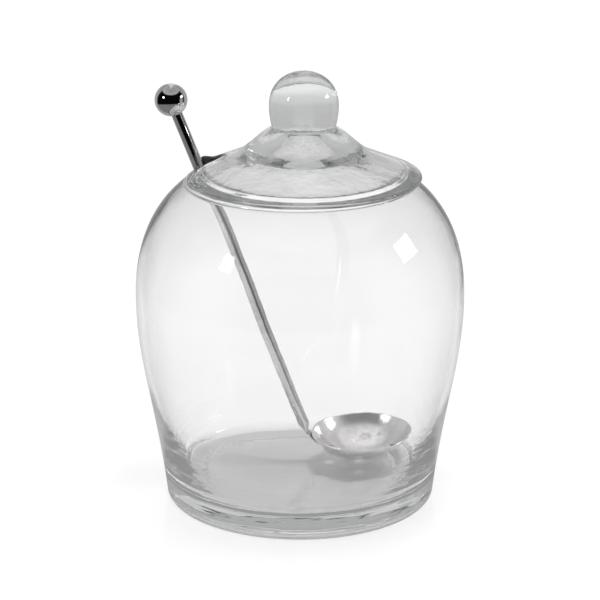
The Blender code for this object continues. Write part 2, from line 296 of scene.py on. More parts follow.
def turned(outline, finish, steps, unevenness=0.0, scale=30.0):
    """A turned mesh from an outline in millimetres."""
    source = bpy.data.meshes.new("outline")
    points = [(radius * MM, 0, height * MM) for radius, height in outline]
    source.from_pydata(points, [(i, i + 1) for i in range(len(points) - 1)], [])
    return grow(source, turning_tree, {"Steps Round": steps, "Finish": finish,
                                       "Unevenness": unevenness * MM, "Unevenness Scale": scale})


# %% [markdown]
# ## Shared surface effects
#
# Handled glass and steel both carry faint smears, and neither is perfectly even. These effects
# are node groups with their own inputs, so that one recipe serves every finish. A group puts
# out masks and heights only, and each material decides what they do to its roughness or bump.

# %% Build the smear group
smear_start, smear_full = 0.18, 0.38


def new_group(name, inputs, outputs):
    return open_tree(name, "ShaderNodeTree", [(label, "Float", value) for label, value in inputs],
                     [(label, "Float") for label in outputs])


def noise_node(tree, scale, detail, roughness=0.5, vector=None):
    if vector is None:
        vector = add_node(tree, "ShaderNodeTexCoord").outputs["Object"]
    values = {"Detail": detail, "Roughness": roughness, "Scale": scale, "Vector": vector}
    return add_node(tree, "ShaderNodeTexNoise", values).outputs["Fac"]


def build_smear_group():
    """Faint smears: patches of fine marks, from a wide noise times a fine one."""
    inputs = (("Patch Scale", 40.0), ("Mark Scale", 600.0), ("Clean", 0.05), ("Smeared", 0.15))
    group, given = new_group("faint smears", inputs, ("Roughness", "Mask"))
    patches = noise_node(group, given["Patch Scale"], 2.0)
    marks = noise_node(group, given["Mark Scale"], 3.0, 0.6)
    both = math_node("MULTIPLY", patches, marks)
    limits = {"Value": both, "From Min": smear_start, "From Max": smear_full}
    mask = add_node(group, "ShaderNodeMapRange", limits).outputs[0]
    spread = math_node("SUBTRACT", given["Smeared"], given["Clean"])
    rise = math_node("MULTIPLY", spread, mask)
    rough = math_node("ADD", rise, given["Clean"])
    add_node(group, "NodeGroupOutput", {"Roughness": rough, "Mask": mask})
    return group


smear_group = build_smear_group()

# %% Build the ripple group
streak_scale, streak_squeeze, streak_fade = 70.0, 6.0, 0.02


def build_ripple_group():
    """The soft waves that a mould and a fire-polish leave in glass, and a tool in steel. Low on
    the outer wall, streaks can join them. They lie level, so their noise is squeezed in height."""
    inputs = (("Wide Scale", 22.0), ("Fine Scale", 90.0), ("Fine Share", 0.3), ("Streak Top", 0.0),
              ("Streak Share", 0.0), ("Streak Radius", 0.0525), ("Streak Slope", 0.155))
    group, given = new_group("soft ripples", inputs, ("Height",))
    wide = noise_node(group, given["Wide Scale"], 1.0)
    fine = noise_node(group, given["Fine Scale"], 2.0)
    height = math_node("ADD", wide, math_node("MULTIPLY", fine, given["Fine Share"]))

    place = add_node(group, "ShaderNodeTexCoord").outputs["Object"]
    squeezed = vector_node("MULTIPLY", place, (1.0, 1.0, streak_squeeze))
    streaks = noise_node(group, streak_scale, 1.0, 0.5, squeezed)
    up = add_node(group, "ShaderNodeSeparateXYZ", {0: place}).outputs["Z"]
    depth = math_node("SUBTRACT", given["Streak Top"], up)
    below = math_node("MAXIMUM", math_node("DIVIDE", depth, streak_fade), 0.0)
    below = math_node("MINIMUM", below, 1.0)
    flat = vector_node("MULTIPLY", place, (1.0, 1.0, 0.0))
    lean = math_node("MULTIPLY", up, given["Streak Slope"])
    wall = math_node("ADD", given["Streak Radius"], lean)
    outer = math_node("GREATER_THAN", vector_node("LENGTH", flat), wall)
    masked = math_node("MULTIPLY", streaks, math_node("MULTIPLY", below, outer))
    streaks = math_node("MULTIPLY", masked, given["Streak Share"])
    add_node(group, "NodeGroupOutput", {"Height": math_node("ADD", height, streaks)})
    return group


ripple_group = build_ripple_group()
print("shared groups:", smear_group.name, "and", ripple_group.name)

# %% Helpers that put a material together
def new_material(name):
    material = bpy.data.materials.new(name)
    material.use_nodes = True
    return material, material.node_tree, material.node_tree.nodes["Principled BSDF"]


def use_group(tree, group, values):
    return add_node(tree, "ShaderNodeGroup", values, node_tree=group).outputs


def mix_colours(factor, first, second):
    """A colour between two colours or outputs. Sockets 6, 7 and 2 are a Mix node's colour ones."""
    values = {"Factor": factor, 6: first, 7: second}
    return add_node(factor.id_data, "ShaderNodeMix", values, data_type="RGBA").outputs[2]


def add_bump(shader, height, strength, depth):
    """Lets a height tilt the surface's normals. The depth is in metres."""
    values = {"Strength": strength, "Distance": depth, "Height": height}
    bump = add_node(shader.id_data, "ShaderNodeBump", values)
    feed(bump.outputs["Normal"], shader.inputs["Normal"])


def mix_surfaces(tree, share, first, second):
    """Puts a mix of two shaders on the surface. The share is that of the second."""
    mix = add_node(tree, "ShaderNodeMixShader", {0: share, 1: first.outputs[0], 2: second.outputs[0]})
    feed(mix.outputs[0], tree.nodes["Material Output"].inputs["Surface"])


# %% [markdown]
# ## Clear glass
#
# Clear glass is seen by what it bends and mirrors, not by its colour. Its outline reads as a
# thin grey line. The material keeps a plain transmission and refraction index and a volume
# that absorbs slightly, and its base colour greys where the surface turns away from the
# camera: painted shade that draws the grey outline. Shadow rays pass it almost freely, because
# thin clear glass throws hardly any shadow.

# %% Make the glass
streak_top = 0.045
glass_ripple_depth = 0.001
absorbed, passed_light = (0.855, 0.86, 0.86, 1.0), (0.95, 0.95, 0.95, 1.0)


def make_glass(name, painted_edge_shade, painted_edge_power, density, ripple_strength, wide_scale, streak_share):
    material, tree, shader = new_material(name)
    shader.inputs["Transmission Weight"].default_value = 1.0
    shader.inputs["IOR"].default_value = 1.5
    shader.inputs["Metallic"].default_value = 0.0
    # The base colour greys towards the silhouette: painted edge shade, which draws the grey outline.
    facing = add_node(tree, "ShaderNodeLayerWeight", {"Blend": 0.5})
    edge = math_node("POWER", facing.outputs["Facing"], painted_edge_power)
    tone = mix_colours(edge, (1.0, 1.0, 1.0, 1.0), (painted_edge_shade, painted_edge_shade, painted_edge_shade * 1.01, 1.0))
    feed(tone, shader.inputs["Base Color"])
    smears = use_group(tree, smear_group, {"Clean": 0.0, "Smeared": 0.02, "Patch Scale": 30.0})
    feed(smears["Roughness"], shader.inputs["Roughness"])
    ripples = use_group(tree, ripple_group, {"Wide Scale": wide_scale, "Fine Scale": wide_scale * 4,
                                             "Streak Top": streak_top, "Streak Share": streak_share})
    add_bump(shader, ripples["Height"], ripple_strength, glass_ripple_depth)
    volume = add_node(tree, "ShaderNodeVolumeAbsorption", {"Color": absorbed, "Density": density})
    feed(volume.outputs[0], tree.nodes["Material Output"].inputs["Volume"])
    clear = add_node(tree, "ShaderNodeBsdfTransparent", {"Color": passed_light})
    shadow_ray = add_node(tree, "ShaderNodeLightPath").outputs["Is Shadow Ray"]
    mix_surfaces(tree, shadow_ray, shader, clear)
    return material


# Both glasses carry painted edge shade: a grey base colour where the surface turns away.
jar_glass = make_glass("blown glass", painted_edge_shade=0.52, painted_edge_power=3.0, density=24.0,
                       ripple_strength=0.1, wide_scale=25.0, streak_share=1.4)
lid_glass = make_glass("pressed glass", painted_edge_shade=0.5, painted_edge_power=5.0, density=60.0,
                       ripple_strength=0.45, wide_scale=60.0, streak_share=0.0)
print("glass:", jar_glass.name, "and", lid_glass.name)

# %% [markdown]
# ## Steel
#
# The handle and its ball are polished and mirror the studio. The bowl is satin, with the fine
# unevenness that working leaves, so it shows broad soft light. Both are fully metallic, and
# the smears only change their roughness and darken them a little.

# %% Make the steel
smeared_tone = 0.86
steel_ripple_depth = 0.0002


def make_steel(name, colour, clean, smeared, ripple_strength):
    material, tree, shader = new_material(name)
    shader.inputs["Metallic"].default_value = 1.0
    smears = use_group(tree, smear_group, {"Clean": clean, "Smeared": smeared, "Patch Scale": 90.0})
    feed(smears["Roughness"], shader.inputs["Roughness"])
    darker = tuple(smeared_tone * part for part in colour[:3]) + (1.0,)
    feed(mix_colours(smears["Mask"], colour, darker), shader.inputs["Base Color"])
    scales = {"Wide Scale": 120.0, "Fine Scale": 900.0, "Fine Share": 0.25}
    ripples = use_group(tree, ripple_group, scales)
    add_bump(shader, ripples["Height"], ripple_strength, steel_ripple_depth)
    return material


polished_steel = make_steel("polished steel", (0.60, 0.59, 0.60, 1.0), clean=0.04, smeared=0.10,
                            ripple_strength=0.05)
satin_steel = make_steel("satin steel", (0.88, 0.86, 0.87, 1.0), clean=0.14, smeared=0.24,
                         ripple_strength=0.35)
print("steel:", polished_steel.name, "and", satin_steel.name)

# %% [markdown]
# ## The jar
#
# The jar is blown: a thin, even side that thickens towards a heavy base, a wide shoulder and a
# fire-polished rim. It is one turned shape. Rows are set close at the rim, the foot and the
# floor's corner, where glass bends light most.

# %% Draw and turn the jar
shoulder_lead_share, shoulder_climb_share, rim_lead_rise = 0.27, 0.66, 0.8
long_rows, corner_rows, foot_rows = 44, 14, 10


def side_curve(foot, belly, start_share, end_share, lean):
    """From the foot up to the belly. The shares say how far each end holds its direction."""
    rise = belly_height - foot[1]
    lower = (foot[0] + lean * start_share * rise, foot[1] + start_share * rise)
    upper = (belly, belly_height - end_share * rise)
    return bend(foot, lower, upper, (belly, belly_height), long_rows)


def shoulder_curve(belly, rim):
    top = rim_height - rim_wall / 2
    rise, lead = top - belly_height, (belly - rim) * shoulder_lead_share
    return bend((belly, belly_height), (belly, belly_height + shoulder_climb_share * rise),
                (rim + lead, top - rim_lead_rise * lead), (rim, top), long_rows)


def jar_outline():
    """From the middle of the floor up the inside, over the rim, and down and under."""
    inner_foot = foot_radius - base_wall
    corner_top = floor_height + floor_corner
    floor_edge = inner_foot - floor_corner
    floor = [(radius, floor_height) for radius in np.linspace(0, floor_edge, 14)]
    corner = arc((floor_edge, corner_top), (floor_corner, floor_corner), -90, 0, corner_rows)
    inside = side_curve((inner_foot, corner_top), belly_radius - side_wall, 0.12, 0.43, 0.40)
    inside += shoulder_curve(belly_radius - side_wall, rim_radius - rim_wall)
    lip = rim_wall / 2
    rim = arc((rim_radius - lip, rim_height - lip), (lip, lip), 180, 0, corner_rows)
    outside = side_curve((foot_radius, foot_round), belly_radius, 0.49, 0.33, 0.119)
    outside += shoulder_curve(belly_radius, rim_radius)
    foot = arc((foot_radius - foot_round, foot_round), (foot_round, foot_round), 0, -90, foot_rows)
    under = [(radius, 0) for radius in np.linspace(foot_radius - foot_round, base_hollow_radius, 5)]
    lip_end = base_hollow_radius - base_hollow_lip
    lead = base_hollow_lip * 0.4
    push_up = bend((base_hollow_radius, 0), (base_hollow_radius - lead, 0),
                   (lip_end + lead, base_hollow_depth), (lip_end, base_hollow_depth), 8)
    inner_base = [(radius, base_hollow_depth) for radius in np.linspace(lip_end, 0, 12)]
    return join(floor, corner, inside, rim, outside[::-1], foot, under, push_up, inner_base)


jar_mesh = turned(jar_outline(), jar_glass, steps=192, unevenness=0.12, scale=35.0)
jar_piece = settle(jar_mesh, "jar_glass_body")
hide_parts("glass_jar")
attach(jar_piece, "jar")

# %% [markdown]
# ## The lid
#
# The lid is pressed in a mould: a thick flange with a notch, a shallow cone, a bell with a
# hollow under it, and a solid ball joined on while hot. Nothing parts them on the real lid, so
# here they are one piece. Its rows start as circles round the axis. Further out they open into
# the notched edge of the flange, which gives the notch soft, moulded corners that a Boolean cut
# would leave hard.

# %% Trace the notched edge of the flange
notch_seat = lid_radius - notch_depth + notch_half
far_round = 1.6
leave_angle, leave_pull = 115, 5.6
meet_angle, meet_pull = 33.5, 7.6


def notched_edge():
    """Points of the flange's edge, in the notch's own frame: x runs out along the notch, and
    its near side, where y is positive, opens in one long curve as far as the rim."""
    inner = arc((notch_seat, 0), (notch_half, notch_half), 270, leave_angle, 26)
    leave, meet = math.radians(leave_angle), math.radians(meet_angle)
    start, end = inner[-1], (lid_radius * math.cos(meet), lid_radius * math.sin(meet))
    first = (start[0] + leave_pull * math.sin(leave), start[1] - leave_pull * math.cos(leave))
    second = (end[0] + meet_pull * math.sin(meet), end[1] - meet_pull * math.cos(meet))
    near_side = bend(start, first, second, end, 34)
    corner_x = math.sqrt((lid_radius - far_round) ** 2 - (notch_half + far_round) ** 2)
    corner = (corner_x, -(notch_half + far_round))
    corner_angle = math.degrees(math.atan2(corner[1], corner[0]))
    far_corner = arc(corner, (far_round, far_round), corner_angle, 90, 12)
    far_side = [(x, -notch_half) for x in np.linspace(corner_x, notch_seat, 10)]
    rim = arc((0, 0), (lid_radius, lid_radius), meet_angle, 360 + corner_angle, 170)
    return np.array(join(rim, far_corner, far_side, inner, near_side)[:-1])


edge_points = notched_edge()
print("flange edge:", len(edge_points), "points")

# %% Match the flange's edge to circles
blend_angle, past_notch_angle = math.radians(60), 0.3


def outward(points):
    """Unit vectors out of a closed counter-clockwise outline."""
    along = np.roll(points, -1, 0) - np.roll(points, 1, 0)
    normal = np.stack([along[:, 1], -along[:, 0]], 1)
    return normal / np.linalg.norm(normal, axis=1, keepdims=True)


def circle_angles(points):
    """For each edge point, the angle of its partner on an inner circle: true far from the
    notch, and spread evenly along the edge near it."""
    angle = np.arctan2(points[:, 1], points[:, 0])
    step = np.linalg.norm(np.roll(points, -1, 0) - points, axis=1)
    middle = int(np.argmin(np.hypot(points[:, 0], points[:, 1])))
    order = np.roll(np.arange(len(points)), -middle)
    length = np.zeros(len(points))
    length[order] = np.concatenate([[0], np.cumsum(step[order])[:-1]])
    total = step.sum()
    signed = np.where(length > total / 2, length - total, length)
    partner = angle.copy()
    for sign in (-1, 1):
        half = np.sign(signed) == sign
        side = half & (np.abs(angle) < blend_angle)
        reach = np.abs(signed[side]).max()
        limit = np.abs(angle[side]).max()
        direction = np.sign(angle[half & (np.abs(angle) > past_notch_angle)].mean())
        partner[side] = direction * limit * np.abs(signed[side]) / reach
    partner[middle] = 0.0
    return partner


edge_normals = outward(edge_points)
partners = circle_angles(edge_points)
print("partners run over", round(math.degrees(np.ptp(partners))), "degrees")

# %% Shape the lid's surfaces
rim_tolerance = 0.05
bar_ends, bar_offset, bar_half = (35.0, 43.8), 1.7, 2.1
bar_height, bar_round = 4.2, 0.9
bar_reach, bar_blend = 3.0, 1.3
ring_spread, ring_blend = 0.25, 0.8
ring_clear, ring_clear_blend = 0.4, 1.6
seat_width = 3.0
crease_lead, crease_soft, crease_drop = 0.6, 0.7, 0.02
notch_points = edge_points[np.hypot(edge_points[:, 0], edge_points[:, 1]) < lid_radius - rim_tolerance]


def notch_distance(points):
    """How far each point is from the notch, in plan."""
    gaps = points[:, None, :] - notch_points[None, :, :]
    return np.sqrt((gaps ** 2).sum(2)).min(1)


def smooth_step(value):
    value = np.clip(value, 0, 1)
    return value * value * (3 - 2 * value)


def top_height(points):
    """The cone, and the level bar along the far side of the notch."""
    radius = np.hypot(points[:, 0], points[:, 1])
    shelf = lid_radius - lid_edge / 2
    cone = np.interp(radius, [cone_radius, shelf], [cone_height, lid_edge])
    cone += foot_swell * np.clip(1 - (radius - cone_radius) / foot_swell_reach, 0, 1) ** 2
    along = np.clip(points[:, 0], *bar_ends)
    off = np.hypot(points[:, 0] - along, points[:, 1] + notch_half + bar_offset)
    bar = bar_height - bar_round * (1 - np.sqrt(np.clip(1 - (off / bar_half) ** 2, 0, 1)))
    weight = smooth_step((bar_reach - off) / bar_blend)
    return np.maximum(cone, bar * weight + cone * (1 - weight))


def under_height(points):
    """The flat seat with its low locating ring, which stops at the notch, and the underside of
    the cone, which follows its top."""
    radius = np.hypot(points[:, 0], points[:, 1])
    middle, half = (ring_outer + ring_inner) / 2, (ring_outer - ring_inner) / 2
    ring = smooth_step((half + ring_spread - np.abs(radius - middle)) / ring_blend)
    clear = smooth_step((notch_distance(points) - ring_clear) / ring_clear_blend)
    slope = crease_height / (hollow_mouth - crease_radius)
    rise = slope * (hollow_mouth + crease_lead - radius)
    cone = (rise + np.sqrt(rise ** 2 + crease_soft ** 2)) / 2 - crease_drop
    return np.where(radius > hollow_mouth + seat_width, 0, cone) - ring_height * ring * clear


# %% Draw the knob, the bell and the hollow
crown_rows, neck_fillet = 32, 0.9


def knob_outline():
    """Down the ball to its neck, and on down the bell to the cone."""
    crown = [(0.0, knob_shoulder + knob_crown)]
    for index in range(1, crown_rows + 1):
        turn = math.radians(90 * (1 - index / crown_rows))
        crown.append((knob_radius * math.cos(turn) ** (2 / knob_power),
                      knob_shoulder + knob_crown * math.sin(turn) ** (2 / knob_power)))
    neck_depth = knob_shoulder / math.sqrt(1 - (neck_radius / knob_radius) ** 2)
    neck_turn = math.degrees(math.asin(knob_shoulder / neck_depth))
    ball = join(crown, arc((0, knob_shoulder), (knob_radius, neck_depth), 0, -neck_turn, 16))
    neck_height = cone_height + bell_height
    ball = [(radius, height + neck_height + fit_gap) for radius, height in ball]
    width, foot_height = cone_radius - neck_radius, cone_height + foot_swell
    upper = (neck_radius + width * 0.36, neck_height - bell_height * 0.19)
    lower = (cone_radius - width * 0.42, foot_height + bell_height * 0.36)
    bell = bend((neck_radius, neck_height), upper, lower, (cone_radius, foot_height), 26)
    return round_corner(join(ball, bell), neck_radius, neck_height + fit_gap / 2, neck_fillet)


def round_corner(outline, radius, height, reach):
    """Draws a soft fillet where two stretches of an outline meet."""
    points = np.array(outline)
    near = np.flatnonzero(np.hypot(points[:, 0] - radius, points[:, 1] - height) < reach)
    first, last = near[0] - 1, near[-1] + 1
    fillet = bend(points[first], (radius, height), (radius, height), points[last], 8)
    return join(outline[:first], fillet, outline[last + 1:])


def hollow_outline():
    """From the crease under the bell up the hollow to the axis."""
    width, rise = crease_radius - hollow_top, hollow_height - crease_height
    wall = bend((crease_radius, crease_height), (crease_radius - width * 0.55, crease_height + rise * 0.12),
                (hollow_top + width * 0.22, hollow_height - rise * 0.20), (hollow_top, hollow_height), 30)
    ceiling = [(radius, hollow_height) for radius in np.linspace(hollow_top, 0, 5)]
    return join(wall, ceiling)


# %% Build the lid row by row
top_fillet, notch_fillet, top_fillet_share = 1.5, 0.9, 0.55
under_fillet, under_fillet_share = 1.05, 0.5
fillet_lead, fillet_reach = 1.5, 6.0
top_probe, crease_step = 1.2, 0.25


def lid_rows():
    """Every row of the lid as an array of points, from the crown to the hollow's ceiling."""
    rows = []
    ring = np.stack([np.cos(partners), np.sin(partners)], 1)

    def add_row(flat, height):
        rows.append(np.column_stack([flat, height]))

    for radius, height in knob_outline():
        add_row(ring * radius, np.full(len(ring), height))
    start = ring * cone_radius
    thickness = top_height(edge_points - edge_normals * top_probe)
    thickness -= under_height(edge_points - edge_normals)
    near_notch = smooth_step(fillet_lead - notch_distance(edge_points) / fillet_reach)
    top_round = np.minimum(top_fillet + notch_fillet * near_notch, thickness * top_fillet_share)
    under_round = np.minimum(under_fillet, thickness * under_fillet_share)
    inset = edge_points - edge_normals * top_round[:, None]
    for share in np.linspace(0, 1, 30)[1:]:
        flat = start + (inset - start) * share
        add_row(flat, top_height(flat))
    shoulder = rows[-1][:, 2]
    for turn in np.radians(np.linspace(0, 90, 9)[1:]):
        flat = edge_points - edge_normals * (top_round * (1 - math.sin(turn)))[:, None]
        add_row(flat, shoulder - top_round * (1 - math.cos(turn)))
    upper, lower = rows[-1][:, 2], under_round
    for share in np.linspace(0, 1, 5)[1:]:
        add_row(edge_points, upper + (lower - upper) * share)
    for turn in np.radians(np.linspace(0, 90, 7)[1:]):
        flat = edge_points - edge_normals * (under_round * (1 - math.cos(turn)))[:, None]
        add_row(flat, under_round * (1 - math.sin(turn)))
    edge_under = rows[-1][:, :2]
    hollow = hollow_outline()
    stop = ring * (hollow[0][0] + crease_step)
    for share in np.linspace(0, 1, 60)[1:]:
        flat = edge_under + (stop - edge_under) * share
        add_row(flat, under_height(flat))
    for radius, height in hollow:
        add_row(ring * radius, np.full(len(ring), height))
    return rows


def skin(rows):
    """Faces between rows of equal length, with the first and last rows drawn to one point."""
    columns = len(rows[0])
    points = [tuple(rows[0].mean(0))]
    for row in rows[1:-1]:
        points += [tuple(point) for point in row]
    points.append(tuple(rows[-1].mean(0)))
    faces = [(0, 1 + i, 1 + (i + 1) % columns) for i in range(columns)]
    for r in range(len(rows) - 3):
        base = 1 + r * columns
        for i in range(columns):
            j = (i + 1) % columns
            faces.append((base + i, base + columns + i, base + columns + j, base + j))
    last = 1 + (len(rows) - 3) * columns
    faces += [(last + i, len(points) - 1, last + (i + 1) % columns) for i in range(columns)]
    return points, faces


# %% Place the lid
lid_mesh = bpy.data.meshes.new("lid")
lid_points, lid_faces = skin(lid_rows())
lid_mesh.from_pydata([(x * MM, y * MM, z * MM) for x, y, z in lid_points], [], lid_faces)
lid_mesh.materials.append(lid_glass)
lid_place = Matrix.Translation((lid_shift * MM, 0, lid_seat * MM)) @ Matrix.Rotation(notch_angle, 4, "Z")
lid_piece = settle(lid_mesh, "lid_with_knob", lid_place)
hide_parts("lid", "lid_knob")
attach(lid_piece, "lid")

# %% [markdown]
# ## The ladle's place
#
# The ladle leans on the mouth with its bowl on the floor. The slide joint of the measured model
# runs along the handle, so its axis gives the handle's direction. The bowl has its own frame at
# the middle of the sphere that it is part of.

# %% Work out the ladle's frames
rod_foot = Vector((3.477, 9.513, 20.759)) * MM
bowl_centre = Vector((26.273, 7.040, 32.247)) * MM
bowl_up = Vector((-0.00472, -0.06087, 0.99813))
bowl_forward = Vector((-0.99701, 0.07732, 0.0))
joint_axes = {joint["name"]: joint["axis"] for joint in frame["joints"]}
rod_axis = Vector(joint_axes["spoon_lift"]).normalized()


def axes_to_matrix(origin, x_axis, z_axis):
    z_axis = z_axis.normalized()
    y_axis = z_axis.cross(x_axis).normalized()
    x_axis = y_axis.cross(z_axis)
    turn = Matrix((x_axis, y_axis, z_axis)).transposed().to_4x4()
    return Matrix.Translation(origin) @ turn


rod_across = Vector((0, 0, 1)).cross(rod_axis).normalized()
rod_frame = axes_to_matrix(rod_foot, rod_across.cross(rod_axis), rod_axis)
bowl_frame = axes_to_matrix(bowl_centre, bowl_forward, bowl_up)
sphere_radius = (bowl_radius ** 2 + bowl_depth ** 2) / (2 * bowl_depth)
rim_turn = math.asin(bowl_radius / sphere_radius)
print("handle leans", round(math.degrees(rod_axis.angle(Vector((0, 0, 1)))), 1), "degrees")

# %% [markdown]
# ## The ladle's bowl
#
# The bowl is spun from sheet and pierced. Piercings repeat round a ring, so a second small tree
# stands a drill at each place, square to the dish, and cuts them all at once.

# %% Build the piercing tree
drill_length, drill_sides = 0.004, 48


def build_piercing_tree():
    inputs = (("Dish", "Geometry"), ("Holes", "Int", 4), ("Hole Radius", "Float", 0.002),
              ("Ring Turn", "Float", 0.5), ("Sphere Radius", "Float", 0.02), ("Finish", "Material"))
    tree, given = open_tree("pierce a dish", "GeometryNodeTree", inputs, (("Piece", "Geometry"),))
    sphere = given["Sphere Radius"]
    reach = math_node("MULTIPLY", math_node("SINE", given["Ring Turn"]), sphere)
    drop = math_node("MULTIPLY", math_node("COSINE", given["Ring Turn"]), sphere)
    ring = add_node(tree, "GeometryNodeMeshCircle", {"Vertices": given["Holes"], "Radius": reach})
    down, bottom = [add_node(tree, "ShaderNodeCombineXYZ", {"Z": math_node("MULTIPLY", depth, -1.0)})
                    for depth in (drop, sphere)]
    lower = add_node(tree, "GeometryNodeSetPosition",
                     {"Geometry": ring.outputs[0], "Offset": down.outputs[0]})
    middle = add_node(tree, "GeometryNodeMeshLine", {"Count": 1, "Start Location": bottom.outputs[0]})
    places = tree.nodes.new("GeometryNodeJoinGeometry")
    feed(lower.outputs[0], places.inputs[0])
    feed(middle.outputs[0], places.inputs[0])

    position = add_node(tree, "GeometryNodeInputPosition").outputs[0]
    aim = add_node(tree, "FunctionNodeAlignRotationToVector", {"Vector": position}, axis="Z")
    size = {"Vertices": drill_sides, "Depth": drill_length, "Radius": given["Hole Radius"]}
    drill = add_node(tree, "GeometryNodeMeshCylinder", size).outputs["Mesh"]
    values = {"Points": places.outputs[0], "Instance": drill, "Rotation": aim.outputs[0]}
    stand = add_node(tree, "GeometryNodeInstanceOnPoints", values)
    drills = add_node(tree, "GeometryNodeRealizeInstances", {0: stand.outputs[0]})
    cut = add_node(tree, "GeometryNodeMeshBoolean", operation="DIFFERENCE", solver="EXACT")
    feed(given["Dish"], cut.inputs["Mesh 1"])
    feed(drills.outputs[0], cut.inputs["Mesh 2"])
    return finish_tree(tree, cut.outputs["Mesh"], given)


piercing_tree = build_piercing_tree()
print("piercing tree:", len(piercing_tree.nodes), "nodes")

# %% Turn and pierce the bowl
def bowl_outline():
    degrees = math.degrees(rim_turn)
    inner_radius = sphere_radius - bowl_wall
    middle = sphere_radius - bowl_wall / 2
    rim_place = (middle * math.sin(rim_turn), -middle * math.cos(rim_turn))
    inner = arc((0, 0), (inner_radius, inner_radius), -90, -90 + degrees, 40)
    rim = arc(rim_place, (bowl_wall / 2, bowl_wall / 2), degrees + 90, degrees - 90, 8)
    outer = arc((0, 0), (sphere_radius, sphere_radius), -90 + degrees, -90, 40)
    return join(inner, rim, outer)


dish = turned(bowl_outline(), satin_steel, steps=128)
pierced = grow(dish, piercing_tree, {"Holes": hole_ring_count, "Hole Radius": hole_radius * MM,
                                     "Finish": satin_steel, "Sphere Radius": sphere_radius * MM,
                                     "Ring Turn": math.asin(hole_ring_radius / sphere_radius)})
bowl_piece = settle(pierced, "ladle_bowl", bowl_frame, sharp=35)
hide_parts("spoon_bowl")
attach(bowl_piece, "spoon")

# %% [markdown]
# ## The handle, its ball and the rivet
#
# The handle is a round rod whose foot was hammered flat and bent against the bowl. Sections are
# drawn along the way, oval where the metal is flat and round above, and skinned into one shape.
# The ball is turned, with a flat where it seats on the rod. A dome-headed rivet joins tongue and
# bowl.

# %% Loft the handle
tongue_rows, rise_rows, rod_rows = 16, 14, 13
tip_thickness_share, tip_rows_share = 0.55, 0.2


def wall_way(turn):
    """Out of the middle of the bowl's sphere, in the bowl's frame."""
    return Vector((math.sin(turn), 0, -math.cos(turn)))


def oval(place, half_depth, half_width, sides=40):
    turns = [2 * math.pi * i / sides for i in range(sides)]
    return [place @ Vector((half_depth * MM * math.cos(a), half_width * MM * math.sin(a), 0)) for a in turns]


def on_rod(height):
    return rod_frame @ Matrix.Translation((0, 0, height * MM))


def handle_sections():
    """From the tongue's tip along the bowl, up the widening foot and on along the rod."""
    sections = []
    for index in range(tongue_rows + 1):
        share = index / tongue_rows
        turn = rim_turn - tongue_length / sphere_radius * (1 - share)
        centre = wall_way(turn) * ((sphere_radius + fit_gap + tongue_thickness / 2) * MM)
        along = Vector((math.cos(turn), 0, math.sin(turn)))
        across = Vector((0, 1, 0))
        turned_frame = Matrix((across.cross(along), across, along)).transposed().to_4x4()
        widen = math.sin(math.radians(90 * min(1, share * 2)))
        width = tongue_tip + (tongue_width - tongue_tip) * widen
        grown = min(1, share / tip_rows_share)
        thin = tongue_thickness * (tip_thickness_share + (1 - tip_thickness_share) * grown)
        sections.append(oval(bowl_frame @ Matrix.Translation(centre) @ turned_frame, thin / 2, width / 2))
    for index in range(1, rise_rows + 1):
        share = index / rise_rows
        ease = smooth_step(share)
        depth = tongue_thickness / 2 + (rod_radius - tongue_thickness / 2) * ease
        width = tongue_width / 2 + (rod_radius - tongue_width / 2) * ease
        sections.append(oval(on_rod(flat_to_round * share), depth, width))
    top = rod_length - math.sqrt(ball_radius ** 2 - rod_radius ** 2)
    for height in np.linspace(flat_to_round, top, rod_rows + 1)[1:]:
        sections.append(oval(on_rod(height), rod_radius, rod_radius))
    return sections


sections = handle_sections()
side_count = len(sections[0])
handle_mesh = bpy.data.meshes.new("handle")
handle_faces = [tuple(range(side_count))]
for row in range(len(sections) - 1):
    for i in range(side_count):
        j = (i + 1) % side_count
        low, high = row * side_count, (row + 1) * side_count
        handle_faces.append((low + i, low + j, high + j, high + i))
handle_faces.append(tuple((len(sections) - 1) * side_count + i for i in range(side_count)))
handle_mesh.from_pydata([tuple(p) for section in sections for p in section], [], handle_faces)
handle_mesh.materials.append(polished_steel)
handle_piece = settle(handle_mesh, "ladle_handle", sharp=50)
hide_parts("spoon_handle")
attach(handle_piece, "spoon")

# %% Turn the ball and the rivet
seat_play, seat_bevel, seat_inset = 0.25, 0.1, 0.15
seat_height = -math.sqrt(ball_radius ** 2 - (rod_radius + seat_play) ** 2)
seat_turn = math.degrees(math.asin(seat_height / ball_radius))
ball_outline = join(arc((0, 0), (ball_radius, ball_radius), 90, seat_turn, 48),
                    [(rod_radius + seat_bevel, seat_height + seat_inset), (0, seat_height + seat_inset)])
ball_piece = settle(turned(ball_outline, polished_steel, steps=96), "ladle_ball", on_rod(rod_length), 50)
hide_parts("spoon_ball")
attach(ball_piece, "spoon")

head_radius, head_height, shank_radius = 1.8, 0.9, 0.9
tail_radius, tail_height, rivet_play = 1.4, 0.5, 0.02
rivet_inset = 2.4
head_base = bowl_wall / 2 + rivet_play
tail_base = -bowl_wall / 2 - fit_gap - tongue_thickness - rivet_play
rivet_outline = join(arc((0, head_base), (head_radius, head_height), 90, 0, 12),
                     [(shank_radius, head_base), (shank_radius, tail_base), (tail_radius, tail_base)],
                     arc((0, tail_base), (tail_radius, tail_height), 0, -90, 8))
rivet_way = wall_way(rim_turn - rivet_inset / sphere_radius)
rivet_centre = rivet_way * ((sphere_radius - bowl_wall / 2) * MM)
rivet_place = bowl_frame @ axes_to_matrix(rivet_centre, Vector((0, 1, 0)), -rivet_way)
rivet_piece = settle(turned(rivet_outline, satin_steel, steps=48), "rivet", rivet_place, 50)
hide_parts("bowl_rivet")
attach(rivet_piece, "spoon")

# %% [markdown]
# ## The studio
#
# Clear glass is lit from behind: a white backdrop shines through it, and a darker room around
# it draws its edges. The camera sees the plain backdrop, glass shows a greyer one, and mirrors
# see a studio: dim in front and at the sides, paler behind, with a bright ceiling.

